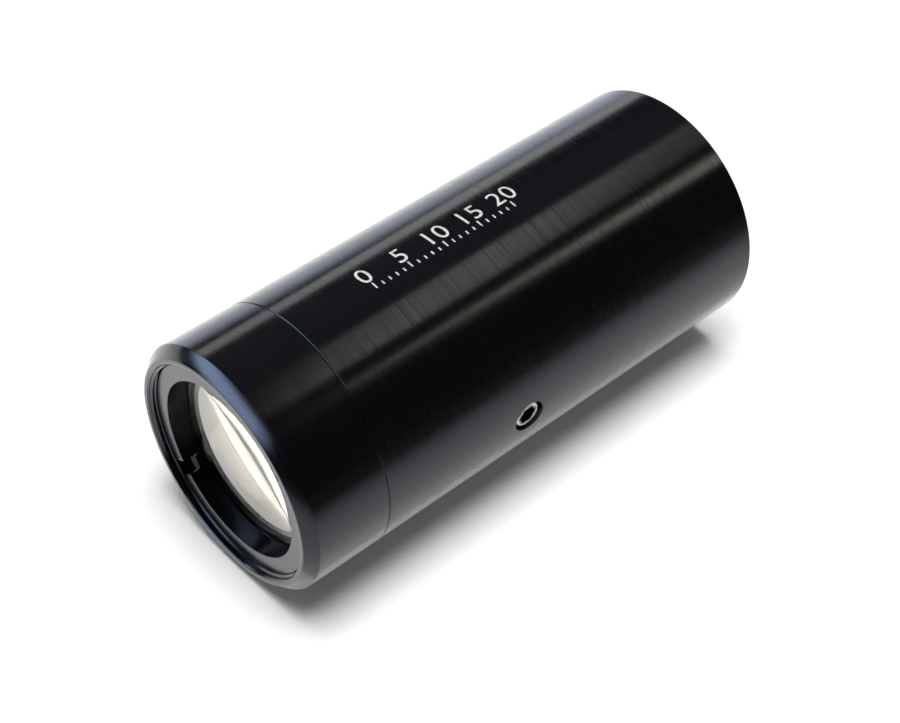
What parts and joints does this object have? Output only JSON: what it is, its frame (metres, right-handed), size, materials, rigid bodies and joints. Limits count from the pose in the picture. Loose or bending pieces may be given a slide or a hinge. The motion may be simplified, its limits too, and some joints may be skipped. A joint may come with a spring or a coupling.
{
  "type": "laser beam expander",
  "caption": "Black anodised cylindrical beam expander with a screw-in focusing cell, a recessed output lens, a side lock screw and a tapped rear mouth.",
  "frame": {"origin": "centre of the rear face, on the optical axis", "axes": "+Z along the optical axis towards the output end; -Y through the lock screw"},
  "size_m": [0.03, 0.03, 0.067],
  "materials": {
    "anodised_barrel": "black anodised, fine turned, semi-gloss",
    "anodised_cell": "black anodised, fine turned, semi-gloss",
    "anodised_ring": "black anodised, satin",
    "inner_black": "black anodised, matt",
    "coated_glass": "polished, anti-reflection coated",
    "input_glass": "polished, anti-reflection coated",
    "bright_screw": "bright stainless",
    "spring_steel": "dull spring steel",
    "brass_tip": "plain brass",
    "rubber_ring": "greased nitrile rubber"
  },
  "bodies": {
    "root": {"main_barrel": "anodised_barrel", "input_cell": "inner_black", "input_lens": "input_glass", "input_retaining_ring": "anodised_ring", "input_lock_ring": "anodised_ring"},
    "lens_group": {"output_front_lens": "coated_glass", "output_spacer_ring": "inner_black", "output_rear_lens": "coated_glass"},
    "focusing_body": {"focusing_cell": "anodised_cell", "output_retaining_ring": "anodised_ring", "travel_stop_ring": "spring_steel", "damping_ring": "rubber_ring"},
    "tip_body": {"lock_tip": "brass_tip"},
    "screw_body": {"lock_screw": "bright_screw"}
  },
  "joints": [
    {"name": "focus_advance", "type": "slide", "parent": "root", "child": "lens_group", "axis": [0, 0, 1], "range_m": [0, 0.00305]},
    {"name": "focus_turn", "type": "hinge", "parent": "lens_group", "child": "focusing_body", "pos_m": [0, 0, 0.0563], "axis": [0, 0, 1], "range_deg": [0, 1440]},
    {"name": "lock_advance", "type": "slide", "parent": "root", "child": "tip_body", "axis": [0, -1, 0], "range_m": [0, 0.0021]},
    {"name": "lock_turn", "type": "hinge", "parent": "tip_body", "child": "screw_body", "pos_m": [0, -0.013, 0.036], "axis": [0, -1, 0], "range_deg": [0, 1080]}
  ],
  "couplings": [
    {"joint": "focus_advance", "follows": "focus_turn", "m_per_rad": 0.00011937}
  ]
}
